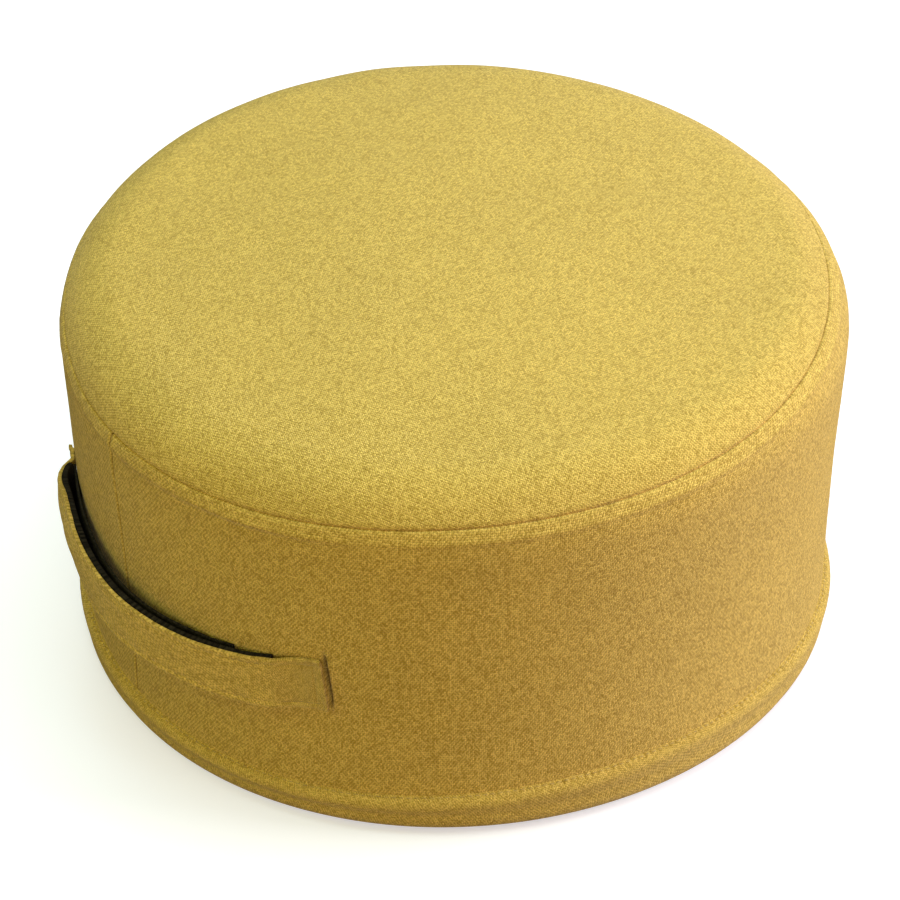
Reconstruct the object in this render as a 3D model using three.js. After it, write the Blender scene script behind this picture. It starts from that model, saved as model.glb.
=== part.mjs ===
import * as THREE from 'three';
import { mergeVertices } from 'three/addons/utils/BufferGeometryUtils.js';

const { degToRad, lerp, clamp } = THREE.MathUtils;

// Round floor cushion with a carrying handle on its side. Millimetres, +Z up.
// The origin is the middle of the underside, and the handle faces -Y.
// Azimuths are in degrees, from +X towards +Y.

// Filled body: the level where the side is widest, the rounded shoulder above it,
// and the foot below, where the side goes into the turned-up base panel
const WIDEST_RADIUS = 204;
const WIDEST_LEVEL = 183;
const SHOULDER_ACROSS = 36;
const SHOULDER_UP = 32;
const SHOULDER_END = degToRad(83);
const FOOT_RADIUS = 197.3;
const FOOT_LEVEL = 25;
const FOOT_ROUNDING = 9;

// Sewing: the round seam between top panel and side band, the seam allowance
// pressed down below it, and the upright seam that joins the ends of the band
const SEAM_RISE = 14;
const SEAM_DEPTH = 1.8;
const SEAM_HALF_WIDTH = 1.7;
const ALLOWANCE_WIDTH = 8;
const ALLOWANCE_HEIGHT = 0.7;
const JOIN_AZIMUTH = -95;
const JOIN_DEPTH = 1.0;
const JOIN_HALF_WIDTH = 1.6;

// Base panel: cloth under the cushion, turned up round the foot as a proud rim
const PANEL_THICKNESS = 2;
const PANEL_GAP = 0.3;
const RIM_LEVEL = 24.5;
const RIM_PROUD = 4;
const RIM_TOP_ROUNDING = 1.8;
const RIM_BULGE = 0.6;
const RIM_ROLL = 7;

// Handle: a cloth strap sewn down at both ends, webbing behind its free length, and
// a tape between the webbing and the body
const STRAP_WIDTH = 32;
const STRAP_THICKNESS = 1.8;
const STRAP_EDGE_ROUNDING = 0.7;
const WEBBING_WIDTH = 30;
const WEBBING_THICKNESS = 3;
const WEBBING_EDGE_ROUNDING = 0.9;
const WEBBING_GAP = 0.5;
const TAPE_WIDTH = 30;
const TAPE_THICKNESS = 1.3;
const TAPE_EDGE_ROUNDING = 0.4;

// How the handle runs, seen from outside, from its left sewn end to its right one.
// top and low are how far the strap's outer face stands off the body at its two
// edges, and height is the level of its top edge.
const HANDLE_ROWS = [
  { azimuth: -123.8, top: 2.3, low: 2.3, height: 110.0 },
  { azimuth: -122.0, top: 2.3, low: 2.3, height: 110.0 },
  { azimuth: -120.4, top: 2.6, low: 2.6, height: 110.0 },
  { azimuth: -118.6, top: 8.3, low: 6.9, height: 109.7 },
  { azimuth: -116.6, top: 12.4, low: 7.8, height: 109.0 },
  { azimuth: -113.0, top: 13.8, low: 8.8, height: 108.0 },
  { azimuth: -107.0, top: 14.4, low: 11.0, height: 105.5 },
  { azimuth: -99.0, top: 15.0, low: 13.4, height: 102.5 },
  { azimuth: -90.0, top: 15.0, low: 13.2, height: 100.5 },
  { azimuth: -80.0, top: 12.6, low: 10.6, height: 100.0 },
  { azimuth: -71.0, top: 8.8, low: 7.6, height: 101.3 },
  { azimuth: -65.5, top: 5.8, low: 5.5, height: 103.5 },
  { azimuth: -62.4, top: 2.6, low: 2.6, height: 105.5 },
  { azimuth: -60.0, top: 2.3, low: 2.3, height: 106.8 },
  { azimuth: -57.5, top: 2.3, low: 2.3, height: 108.0 },
];
const HANDLE_STEPS_PER_ROW = 5;
const WEBBING_FIRST_ROW = 2.8;
const WEBBING_LAST_ROW = 11;

// How the tape's outer face runs, in the same way
const TAPE_ROWS = [
  { azimuth: -117.2, top: 1.9, low: 1.9, height: 108.1 },
  { azimuth: -113.0, top: 2.7, low: 3.0, height: 107.0 },
  { azimuth: -108.0, top: 3.9, low: 4.8, height: 104.9 },
  { azimuth: -100.0, top: 6.0, low: 6.8, height: 101.9 },
  { azimuth: -93.0, top: 7.5, low: 7.4, height: 100.1 },
  { azimuth: -85.0, top: 6.3, low: 5.9, height: 99.1 },
  { azimuth: -76.5, top: 3.4, low: 3.4, height: 99.2 },
  { azimuth: -72.0, top: 1.9, low: 1.9, height: 100.0 },
];

// Unevenness of the stuffed body: slow waves round it, their size and the azimuth
// of a crest
const WIDEST_SWELLS = [
  { waves: 2, size: 2.2, crest: 137 },
  { waves: 3, size: 1.0, crest: 36 },
];
const FOOT_SWELLS = [
  { waves: 1, size: 0.5, crest: -101 },
  { waves: 2, size: 0.4, crest: 54 },
  { waves: 3, size: 1.7, crest: 50 },
];
const SHOULDER_LIFTS = [
  { waves: 1, size: 1.5, crest: 139 },
  { waves: 2, size: 1.0, crest: -18 },
];
const SEAM_SWELLS = [
  { waves: 1, size: 7.1, crest: 15 },
  { waves: 2, size: 7.6, crest: 37 },
  { waves: 3, size: 3.7, crest: 74 },
];
const RIM_SWELLS = [
  { waves: 2, size: 3.0, crest: -2 },
  { waves: 3, size: 1.5, crest: -2 },
];

// Columns of faces round the body, closer together beside the upright seam
const COLUMNS = 72;
const JOIN_COLUMN_OFFSETS = [-1.3, -0.5, 0.5, 1.3];

// Rows of faces: how many there are up the foot, the side and the shoulder, how far
// above the foot's rounding the side's rows start, where rows lie across the seam in
// millimetres above it, and the crown's rings as shares of its radius
const FOOT_ROWS = 4;
const SIDE_ROWS = 10;
const SHOULDER_ROWS = 5;
const SIDE_START = 4;
const SEAM_ROWS = [-10, -8, -5, -2.4, -1, 0, 1, 2.4, 5];
const CROWN_RINGS = [0.95, 0.87, 0.75, 0.6, 0.42, 0.22, 0];
const PANEL_ROLL_ROWS = 5;
const PANEL_WALL_ROWS = [0.25, 0.5, 0.75];
const PANEL_TURN_ROWS = 4;

// Points closer together than this are one
const SAME_POINT = 1e-4;

const SHOULDER_MEAN = (SHOULDER_ACROSS + SHOULDER_UP) / 2;
const SHOULDER_LENGTH = SHOULDER_END * SHOULDER_MEAN;
const CROWN_RADIUS = WIDEST_RADIUS - SHOULDER_ACROSS * (1 - Math.cos(SHOULDER_END));
const CROWN_EDGE_SLOPE = SHOULDER_UP / SHOULDER_ACROSS / Math.tan(SHOULDER_END);
const CROWN_RISE = (CROWN_EDGE_SLOPE * CROWN_RADIUS) / 2;
const FOOT_BOTTOM = PANEL_THICKNESS + PANEL_GAP;
const FOOT_CENTRE = FOOT_BOTTOM + FOOT_ROUNDING;

const range = (count, from, to) =>
  Array.from({ length: count }, (_, k) => lerp(from, to, k / (count - 1)));

function swell(table, azimuth) {
  return table.reduce(
    (sum, row) => sum + row.size * Math.cos(row.waves * degToRad(azimuth - row.crest)),
    0,
  );
}

function around(azimuth, radius, height) {
  const angle = degToRad(azimuth);
  return new THREE.Vector3(radius * Math.cos(angle), radius * Math.sin(angle), height);
}

const widestRadius = (azimuth) => WIDEST_RADIUS + swell(WIDEST_SWELLS, azimuth);
const widestLevel = (azimuth) => WIDEST_LEVEL + swell(SHOULDER_LIFTS, azimuth);
const footRadius = (azimuth) => FOOT_RADIUS + swell(FOOT_SWELLS, azimuth);
const seamRise = (azimuth) => SEAM_RISE + swell(SEAM_SWELLS, azimuth);
const rimLevel = (azimuth) => RIM_LEVEL + swell(RIM_SWELLS, azimuth);

// A smooth bump that is 1 in its middle and fades over the half width
const bump = (distance, halfWidth) => Math.exp(-((distance / halfWidth) ** 2));

// Radius of the plain side at a level below the widest one
function sideRadius(azimuth, level) {
  const widest = widestRadius(azimuth);
  const share = (widestLevel(azimuth) - level) / (widestLevel(azimuth) - FOOT_LEVEL);
  const down = clamp(share, 0, 1);
  return widest + (footRadius(azimuth) - widest) * Math.sin((down * Math.PI) / 2);
}

// The body's surface by its rise: the distance up the shoulder from the widest
// level, or down the side where it is negative. The outward push follows the
// surface's own slope.
function bodyPoint(azimuth, rise, push) {
  if (rise < 0) {
    const level = widestLevel(azimuth) + rise;
    return { radius: sideRadius(azimuth, level) + push, height: level };
  }
  const turn = rise / SHOULDER_MEAN;
  const slope = new THREE.Vector2(
    Math.cos(turn) / SHOULDER_ACROSS,
    Math.sin(turn) / SHOULDER_UP,
  ).normalize();
  const centre = widestRadius(azimuth) - SHOULDER_ACROSS;
  return {
    radius: centre + SHOULDER_ACROSS * Math.cos(turn) + push * slope.x,
    height: widestLevel(azimuth) + SHOULDER_UP * Math.sin(turn) + push * slope.y,
  };
}

// How far the sewing pulls the surface in, or the seam allowance lifts it
function sewingPush(azimuth, rise) {
  const below = seamRise(azimuth) - rise;
  const groove = -SEAM_DEPTH * bump(below, SEAM_HALF_WIDTH);
  const onAllowance = below > SEAM_HALF_WIDTH && below <= ALLOWANCE_WIDTH;
  const beside = degToRad(azimuth - JOIN_AZIMUTH) * WIDEST_RADIUS;
  const join = below > 0 ? -JOIN_DEPTH * bump(beside, JOIN_HALF_WIDTH) : 0;
  return groove + join + (onAllowance ? ALLOWANCE_HEIGHT : 0);
}

function crownPoint(azimuth, share) {
  const edge = bodyPoint(azimuth, SHOULDER_LENGTH, 0);
  const evenEdge = edge.height - swell(SHOULDER_LIFTS, azimuth) * (1 - share);
  const height = evenEdge + CROWN_RISE * (1 - share * share);
  return { radius: edge.radius * share, height };
}

// Stations of the cushion's outline, from the middle of its underside round the
// foot, up the side, over the seam and the shoulder to the middle of the crown
const CUSHION_STATIONS = [
  { part: 'middle', at: 0 },
  ...range(FOOT_ROWS, 90, 0).map((at) => ({ part: 'foot', at })),
  ...range(SIDE_ROWS, 0, 1).slice(0, -1).map((at) => ({ part: 'side', at })),
  ...SEAM_ROWS.map((at) => ({ part: 'seam', at })),
  ...range(SHOULDER_ROWS + 1, 0, 1).slice(1).map((at) => ({ part: 'shoulder', at })),
  ...CROWN_RINGS.map((at) => ({ part: 'crown', at })),
];

function cushionPoint(azimuth, { part, at }) {
  if (part === 'crown') {
    const { radius, height } = crownPoint(azimuth, at);
    return around(azimuth, radius, height);
  }
  if (part === 'foot') {
    const turn = degToRad(at);
    const radius = footRadius(azimuth) - FOOT_ROUNDING * (1 - Math.cos(turn));
    return around(azimuth, radius, FOOT_CENTRE - FOOT_ROUNDING * Math.sin(turn));
  }
  if (part === 'middle') return new THREE.Vector3(0, 0, FOOT_BOTTOM);
  const seam = seamRise(azimuth);
  const lowest = FOOT_CENTRE + SIDE_START - widestLevel(azimuth);
  const rises = {
    side: lerp(lowest, seam + SEAM_ROWS[0], at),
    seam: seam + at,
    shoulder: lerp(seam + SEAM_ROWS.at(-1), SHOULDER_LENGTH, at),
  };
  const rise = rises[part];
  const { radius, height } = bodyPoint(azimuth, rise, sewingPush(azimuth, rise));
  return around(azimuth, radius, height);
}

// Stations of the base panel, from the middle of its underside round the roll, up
// its outer face, over the rim's top and down inside it to the middle of its upper face
const PANEL_STATIONS = [
  { part: 'under middle', at: 0 },
  ...range(PANEL_ROLL_ROWS, 90, 0).map((at) => ({ part: 'roll', at })),
  ...PANEL_WALL_ROWS.map((at) => ({ part: 'outer face', at })),
  ...range(PANEL_TURN_ROWS, 0, 180).map((at) => ({ part: 'rim top', at })),
  ...range(PANEL_TURN_ROWS, 0, 90).map((at) => ({ part: 'inner corner', at })),
  { part: 'upper middle', at: 0 },
];

function panelPoint(azimuth, { part, at }) {
  const turn = degToRad(at);
  const foot = footRadius(azimuth);
  const outer = foot + RIM_PROUD;
  const inner = foot + PANEL_GAP;
  const topCentre = rimLevel(azimuth) - RIM_TOP_ROUNDING;
  const halfWall = (outer - inner) / 2;
  switch (part) {
    case 'upper middle':
      return new THREE.Vector3(0, 0, PANEL_THICKNESS);
    case 'inner corner': {
      const reach = FOOT_ROUNDING + PANEL_GAP;
      const radius = foot - FOOT_ROUNDING + reach * Math.cos(turn);
      return around(azimuth, radius, FOOT_CENTRE - reach * Math.sin(turn));
    }
    case 'rim top': {
      const radius = inner + halfWall + halfWall * Math.cos(turn);
      return around(azimuth, radius, topCentre + RIM_TOP_ROUNDING * Math.sin(turn));
    }
    case 'outer face': {
      const bulge = RIM_BULGE * Math.sin(at * Math.PI);
      return around(azimuth, outer + bulge, lerp(RIM_ROLL, topCentre, at));
    }
    case 'roll': {
      const radius = outer - RIM_ROLL * (1 - Math.cos(turn));
      return around(azimuth, radius, RIM_ROLL - RIM_ROLL * Math.sin(turn));
    }
    default:
      return new THREE.Vector3(0, 0, 0);
  }
}

// The azimuths of the columns of faces
function columnAzimuths() {
  const even = Array.from({ length: COLUMNS }, (_, k) => -180 + (k * 360) / COLUMNS);
  const extra = JOIN_COLUMN_OFFSETS.map((offset) => JOIN_AZIMUTH + offset);
  return [...even, ...extra].sort((a, b) => a - b);
}

// Joins the points that fall together and drops the faces that this closes up
function closed(geometry) {
  geometry.deleteAttribute('normal');
  geometry.deleteAttribute('uv');
  const merged = mergeVertices(geometry, SAME_POINT);
  const corners = Array.from(merged.index.array);
  const kept = [];
  for (let k = 0; k < corners.length; k += 3) {
    const [a, b, c] = corners.slice(k, k + 3);
    if (a !== b && b !== c && c !== a) kept.push(a, b, c);
  }
  merged.setIndex(kept);
  merged.computeVertexNormals();
  return merged;
}

// A turned form laid uneven: a lathe of plain stations gives the faces, and each of
// its points is put where the station lies at the column's azimuth
function unevenTurning(stations, pointAt) {
  const azimuths = columnAzimuths();
  const plain = stations.map((_, k) => new THREE.Vector2(1, k));
  const geometry = new THREE.LatheGeometry(plain, azimuths.length);
  const position = geometry.getAttribute('position');
  for (let k = 0; k < position.count; k += 1) {
    const column = Math.floor(k / stations.length) % azimuths.length;
    const point = pointAt(azimuths[column], stations[k % stations.length]);
    position.setXYZ(k, point.x, point.y, point.z);
  }
  return closed(geometry);
}

// The two edges of the face that a table of rows lays down, its width apart
function stripEdges(rows, width) {
  const low = rows.map((row) => {
    const level = row.height - width;
    return around(row.azimuth, sideRadius(row.azimuth, level) + row.low, level);
  });
  const top = rows.map((row) =>
    around(row.azimuth, sideRadius(row.azimuth, row.height) + row.top, row.height),
  );
  return { low: new THREE.CatmullRomCurve3(low), top: new THREE.CatmullRomCurve3(top) };
}

// A strip of rounded section along a table of rows that are rowWidth wide. depth is
// how far its outer face lies behind theirs, and it runs from firstRow to lastRow.
function handleStrip(rows, rowWidth, { width, thickness, rounding, depth, firstRow, lastRow }) {
  const { low, top } = stripEdges(rows, rowWidth);
  const lastIndex = rows.length - 1;
  const section = new THREE.Shape();
  section.moveTo(rounding, 0);
  section.lineTo(thickness - rounding, 0);
  section.quadraticCurveTo(thickness, 0, thickness, rounding);
  section.lineTo(thickness, width - rounding);
  section.quadraticCurveTo(thickness, width, thickness - rounding, width);
  section.lineTo(rounding, width);
  section.quadraticCurveTo(0, width, 0, width - rounding);
  section.lineTo(0, rounding);
  section.quadraticCurveTo(0, 0, rounding, 0);
  const geometry = new THREE.ExtrudeGeometry(section, {
    depth: 1,
    steps: Math.round((lastRow - firstRow) * HANDLE_STEPS_PER_ROW),
    bevelEnabled: false,
    curveSegments: 2,
  });
  const position = geometry.getAttribute('position');
  for (let k = 0; k < position.count; k += 1) {
    const along = lerp(firstRow, lastRow, position.getZ(k)) / lastIndex;
    const across = 0.5 + (position.getY(k) - width / 2) / rowWidth;
    const outer = low.getPoint(along).lerp(top.getPoint(along), across);
    const forward = low.getTangent(along).lerp(top.getTangent(along), across);
    const upward = top.getPoint(along).sub(low.getPoint(along));
    const outward = forward.cross(upward).normalize();
    outer.addScaledVector(outward, -(depth + position.getX(k)));
    position.setXYZ(k, outer.x, outer.y, outer.z);
  }
  return closed(geometry);
}

// Cloth and webbing colours
const CLOTH = { color: 0xc6a544, roughness: 0.95, metalness: 0 };
const RIM_CLOTH = { color: 0xb5903a, roughness: 0.95, metalness: 0 };
const STRAP_CLOTH = { color: 0xa88a3c, roughness: 0.95, metalness: 0 };
const WEBBING = { color: 0x211f20, roughness: 0.9, metalness: 0 };

function named(name, geometry, finish) {
  const mesh = new THREE.Mesh(geometry, new THREE.MeshStandardMaterial(finish));
  mesh.name = name;
  return mesh;
}

// The stuffed body: top panel and side band sewn round the filling
function cushion() {
  return named('cushion', unevenTurning(CUSHION_STATIONS, cushionPoint), CLOTH);
}

// The cloth under the cushion with its turned-up rim
function basePanel() {
  return named('base_panel', unevenTurning(PANEL_STATIONS, panelPoint), RIM_CLOTH);
}

// The handle's outer strip of cloth, its ends sewn flat to the side
function handleStrap() {
  const geometry = handleStrip(HANDLE_ROWS, STRAP_WIDTH, {
    width: STRAP_WIDTH,
    thickness: STRAP_THICKNESS,
    rounding: STRAP_EDGE_ROUNDING,
    depth: 0,
    firstRow: 0,
    lastRow: HANDLE_ROWS.length - 1,
  });
  return named('handle_strap', geometry, STRAP_CLOTH);
}

// The dark webbing behind the strap's free length
function handleWebbing() {
  const geometry = handleStrip(HANDLE_ROWS, STRAP_WIDTH, {
    width: WEBBING_WIDTH,
    thickness: WEBBING_THICKNESS,
    rounding: WEBBING_EDGE_ROUNDING,
    depth: STRAP_THICKNESS + WEBBING_GAP,
    firstRow: WEBBING_FIRST_ROW,
    lastRow: WEBBING_LAST_ROW,
  });
  return named('handle_webbing', geometry, WEBBING);
}

// The dark tape that arches lower, between the webbing and the body
function handleTape() {
  const geometry = handleStrip(TAPE_ROWS, TAPE_WIDTH, {
    width: TAPE_WIDTH,
    thickness: TAPE_THICKNESS,
    rounding: TAPE_EDGE_ROUNDING,
    depth: 0,
    firstRow: 0,
    lastRow: TAPE_ROWS.length - 1,
  });
  return named('handle_tape', geometry, WEBBING);
}

const floorCushion = new THREE.Group();
floorCushion.add(cushion(), basePanel(), handleStrap(), handleWebbing(), handleTape());

export default floorCushion;
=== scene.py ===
import logging
import math
from collections.abc import Callable, Iterator
from dataclasses import dataclass, field
from enum import Enum

import bmesh
import bpy
from mathutils import Matrix, Vector, noise
from mathutils.bvhtree import BVHTree
from mathutils.geometry import interpolate_bezier


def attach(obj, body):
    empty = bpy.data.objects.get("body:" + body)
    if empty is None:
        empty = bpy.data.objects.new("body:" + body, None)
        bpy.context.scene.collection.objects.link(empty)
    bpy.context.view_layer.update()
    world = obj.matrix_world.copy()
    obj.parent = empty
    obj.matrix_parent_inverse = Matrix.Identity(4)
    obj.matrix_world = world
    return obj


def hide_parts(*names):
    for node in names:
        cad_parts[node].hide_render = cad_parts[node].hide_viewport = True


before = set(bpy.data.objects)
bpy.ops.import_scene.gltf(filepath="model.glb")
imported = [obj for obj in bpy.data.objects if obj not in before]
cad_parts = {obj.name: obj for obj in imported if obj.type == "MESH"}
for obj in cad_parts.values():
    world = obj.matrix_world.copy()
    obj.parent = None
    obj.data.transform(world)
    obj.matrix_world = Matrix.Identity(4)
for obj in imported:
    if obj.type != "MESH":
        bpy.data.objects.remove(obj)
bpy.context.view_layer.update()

LOG = logging.getLogger("floor_cushion")
TURN = 2.0 * math.pi
Colour = tuple[float, float, float, float]
Piece = bpy.types.Object
Socket = bpy.types.NodeSocket
Stitch = tuple[Vector, Vector, Vector]
BLACK: Colour = (0.0, 0.0, 0.0, 1.0)
WHITE: Colour = (1.0, 1.0, 1.0, 1.0)


class Weave(Enum):
    """The weaves that the pieces are made of."""

    LINEN = "plain weave"
    WEBBING = "ribbed weave"


class Section(Enum):
    """The parts of the cushion's outline, from the underside up."""

    UNDERSIDE = "underside"
    FOOT = "foot"
    SIDE = "side"
    SEAM = "seam"
    SHOULDER = "shoulder"
    CROWN = "crown"


class RimSection(Enum):
    """The parts of the base cover's outline, from its underside round its rim."""

    UNDER = "under"
    ROLL = "roll"
    WALL = "wall"
    TOP = "top"
    INSIDE = "inside"
    UPPER = "upper"


def bump(distance: float, half_width: float) -> float:
    """A smooth bump that is 1 in its middle and fades over the half width."""
    return math.exp(-((distance / half_width) ** 2))


def blend(first: float, second: float, share: float) -> float:
    """The value that lies share of the way from first to second."""
    return first + (second - first) * share


def ramp(value: float, start: float, end: float) -> float:
    """0 before start, 1 after end and smooth between them."""
    share = min(1.0, max(0.0, (value - start) / (end - start)))
    return share * share * (3.0 - 2.0 * share)


def apart(azimuth: float, other: float) -> float:
    """The turn from other to azimuth, between minus and plus half a turn."""
    return (azimuth - other + math.pi) % TURN - math.pi


def around(azimuth: float, radius: float, height: float) -> Vector:
    """The point at that azimuth, radius and height."""
    return Vector((radius * math.cos(azimuth), radius * math.sin(azimuth), height))


@dataclass(frozen=True)
class Ridge:
    """A smooth ridge or furrow: its height or depth, its place and its half width."""

    size: float
    place: float
    half_width: float

    def at(self, distance: float) -> float:
        """How much of it there is at a distance."""
        return self.size * bump(distance - self.place, self.half_width)


@dataclass(frozen=True)
class Grain:
    """Smooth noise, the same on every run: its size, its scale each way and its shift."""

    size: float
    scale: tuple[float, float, float]
    shift: tuple[float, float, float] = (0.0, 0.0, 0.0)

    def at(self, x: float, y: float = 0.0, z: float = 0.0) -> float:
        """The noise at a place, from about minus to plus its size."""
        parts = zip((x, y, z), self.scale, self.shift)
        return self.size * noise.noise(Vector([part * scale + shift for part, scale, shift in parts]))


@dataclass(frozen=True)
class Swell:
    """A slow wave round the stuffed body.

    size is in metres and crest is a crest's azimuth in degrees.
    """

    waves: int
    size: float
    crest: float

    def at(self, azimuth: float) -> float:
        """How far the wave stands out at an azimuth in radians."""
        return self.size * math.cos(self.waves * (azimuth - math.radians(self.crest)))


def swell(table: tuple[Swell, ...], azimuth: float) -> float:
    """The sum of a table of waves at one azimuth."""
    return sum(wave.at(azimuth) for wave in table)


@dataclass(frozen=True)
class Outline:
    """The stuffed body's sizes in metres, which all the pieces share."""

    widest_radius: float = 0.204
    widest_level: float = 0.183
    shoulder_across: float = 0.036
    shoulder_up: float = 0.032
    shoulder_end: float = math.radians(83.0)
    foot_radius: float = 0.1973
    foot_level: float = 0.025
    foot_rounding: float = 0.009
    foot_bottom: float = 0.0023
    seam_rise: float = 0.014
    rim_level: float = 0.0245
    widest_swells: tuple[Swell, ...] = (Swell(2, 0.0022, 137.0), Swell(3, 0.001, 36.0))
    foot_swells: tuple[Swell, ...] = (
        Swell(1, 0.0005, -101.0),
        Swell(2, 0.0004, 54.0),
        Swell(3, 0.0017, 50.0),
    )
    shoulder_lifts: tuple[Swell, ...] = (
        Swell(1, 0.0015, 139.0),
        Swell(2, 0.001, -18.0),
    )
    seam_swells: tuple[Swell, ...] = (
        Swell(1, 0.0071, 15.0),
        Swell(2, 0.0076, 37.0),
        Swell(3, 0.0037, 74.0),
    )
    rim_swells: tuple[Swell, ...] = (Swell(2, 0.003, -2.0), Swell(3, 0.0015, -2.0))

    @property
    def shoulder_mean(self) -> float:
        """The shoulder's mean rounding."""
        return (self.shoulder_across + self.shoulder_up) / 2

    @property
    def shoulder_length(self) -> float:
        """The way up the shoulder from the widest level to the crown's edge."""
        return self.shoulder_end * self.shoulder_mean

    @property
    def crown_radius(self) -> float:
        """The crown's mean radius."""
        return self.widest_radius - self.shoulder_across * (1 - math.cos(self.shoulder_end))

    @property
    def crown_rise(self) -> float:
        """How far the crown rises above its edge."""
        slope = self.shoulder_up / self.shoulder_across / math.tan(self.shoulder_end)
        return slope * self.crown_radius / 2

    def widest(self, azimuth: float) -> float:
        """The widest radius at an azimuth."""
        return self.widest_radius + swell(self.widest_swells, azimuth)

    def level(self, azimuth: float) -> float:
        """The level where the body is widest."""
        return self.widest_level + swell(self.shoulder_lifts, azimuth)

    def foot(self, azimuth: float) -> float:
        """The radius at the foot."""
        return self.foot_radius + swell(self.foot_swells, azimuth)

    def seam(self, azimuth: float) -> float:
        """How far up the shoulder the round seam lies."""
        return self.seam_rise + swell(self.seam_swells, azimuth)

    def rim(self, azimuth: float) -> float:
        """The level of the rim's upper edge."""
        return self.rim_level + swell(self.rim_swells, azimuth)

    def side_radius(self, azimuth: float, level: float) -> float:
        """The radius of the plain side at a level below the widest one.

        Args:
            azimuth: in radians.
            level: at or below the widest one.

        Returns:
            The radius in metres.
        """
        top = self.level(azimuth)
        share = min(1.0, max(0.0, (top - level) / (top - self.foot_level)))
        widest = self.widest(azimuth)
        return widest + (self.foot(azimuth) - widest) * math.sin(share * math.pi / 2)

    def surface(self, azimuth: float, rise: float) -> tuple[float, float]:
        """Radius and height of the plain surface.

        Args:
            azimuth: in radians.
            rise: the way up the shoulder from the widest level, negative on the side.

        Returns:
            The radius and the height, in metres.
        """
        if rise < 0:
            level = self.level(azimuth) + rise
            return self.side_radius(azimuth, level), level
        turn = rise / self.shoulder_mean
        centre = self.widest(azimuth) - self.shoulder_across
        radius = centre + self.shoulder_across * math.cos(turn)
        return radius, self.level(azimuth) + self.shoulder_up * math.sin(turn)

    def crown(self, azimuth: float, share: float) -> tuple[float, float]:
        """Radius and height on the crown.

        Args:
            azimuth: in radians.
            share: 1 at its edge and 0 in its middle.

        Returns:
            The radius and the height, in metres.
        """
        radius, height = self.surface(azimuth, self.shoulder_length)
        height -= swell(self.shoulder_lifts, azimuth) * (1 - share)
        return radius * share, height + self.crown_rise * (1 - share * share)


@dataclass(frozen=True)
class Crowd:
    """An azimuth in radians near which a turned form's columns lie closer together."""

    azimuth: float
    half_width: float
    strength: float


def column_azimuths(columns: int, crowds: tuple[Crowd, ...], steps: int = 7200) -> list[float]:
    """The azimuth of each column of a turned form.

    Args:
        columns: how many there are.
        crowds: where they lie closer together.
        steps: how finely their density is summed.

    Returns:
        Rising azimuths in radians.
    """
    densities = []
    for step in range(steps):
        azimuth = step / steps * TURN
        near = sum(c.strength * bump(apart(azimuth, c.azimuth), c.half_width) for c in crowds)
        densities.append(1.0 + near)
    scale = columns / sum(densities)
    azimuths: list[float] = []
    run = 0.0
    for step, density in enumerate(densities):
        while len(azimuths) < min(columns, run + density * scale):
            share = (len(azimuths) - run) / (density * scale)
            azimuths.append((step + share) / steps * TURN)
        run += density * scale
    return azimuths


class Turning:
    """A form turned round the upright axis and then laid uneven."""

    ROLL_MERGE = 1e-4
    POLE_MERGE = 1e-6
    SLIVER = 1e-7

    def __init__(
        self, rows: list[tuple[Enum, float]], columns: int, crowds: tuple[Crowd, ...] = ()
    ) -> None:
        """Rolls a grid up into a tube, with a row for each row of the outline.

        Args:
            rows: the outline's rows, each a part and a share of it.
            columns: how many there are round the form.
            crowds: where they lie closer together.
        """
        self.rows = rows
        self.bm = bmesh.new()
        last = len(rows) - 1
        bmesh.ops.create_grid(self.bm, x_segments=columns, y_segments=last, size=0.5)
        for vertex in self.bm.verts:
            vertex.co = around((vertex.co.x + 0.5) * TURN, 1.0, (vertex.co.y + 0.5) * last)
        bmesh.ops.remove_doubles(self.bm, verts=self.bm.verts[:], dist=self.ROLL_MERGE)
        azimuths = column_azimuths(columns, crowds)
        self.places = []
        for vertex in self.bm.verts:
            column = round(math.atan2(vertex.co.y, vertex.co.x) / TURN * columns) % columns
            self.places.append((round(vertex.co.z), azimuths[column]))

    def lay(self, point_at: Callable[[Enum, float, float], Vector]) -> None:
        """Puts each point where its row lies at its azimuth.

        Args:
            point_at: gives the point of a part and a share at an azimuth.
        """
        for vertex, (row, azimuth) in zip(self.bm.verts, self.places):
            section, share = self.rows[row]
            vertex.co = point_at(section, share, azimuth)
        self.bm.verts.index_update()
        self.bm.normal_update()

    def unroll(self, cloth_at: Callable[[list[tuple[int, float]]], list[Vector]]) -> None:
        """Writes the UV map that the weave follows, in metres of cloth.

        Args:
            cloth_at: gives the places on the cloth of a face's corners.
        """
        layer = self.bm.loops.layers.uv.new("Cloth")
        for face in self.bm.faces:
            corners = [self.places[loop.vert.index] for loop in face.loops]
            for loop, uv in zip(face.loops, cloth_at(corners)):
                loop[layer].uv = uv.to_2d()

    def finish(self, name: str) -> Piece:
        """Closes the roll and the poles, turns the faces outwards and makes the object.

        Args:
            name: the object's name.

        Returns:
            The finished object.
        """
        bmesh.ops.remove_doubles(self.bm, verts=self.bm.verts[:], dist=self.POLE_MERGE)
        bmesh.ops.dissolve_degenerate(self.bm, edges=self.bm.edges[:], dist=self.SLIVER)
        bmesh.ops.recalc_face_normals(self.bm, faces=self.bm.faces[:])
        return make_object(self.bm, name)


def make_object(bm: bmesh.types.BMesh, name: str) -> Piece:
    """Makes a smooth-shaded object of a bmesh and frees the bmesh.

    Args:
        bm: the mesh, which is used up.
        name: the object's name.

    Returns:
        The object, linked to the scene.
    """
    mesh = bpy.data.meshes.new(name)
    for face in bm.faces:
        face.smooth = True
    bm.to_mesh(mesh)
    bm.free()
    piece = bpy.data.objects.new(name, mesh)
    bpy.context.scene.collection.objects.link(piece)
    return piece


def spread(count: int, first: float, last: float) -> list[float]:
    """Evenly spread values from first to last."""
    return [blend(first, last, k / (count - 1)) for k in range(count)]


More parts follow.
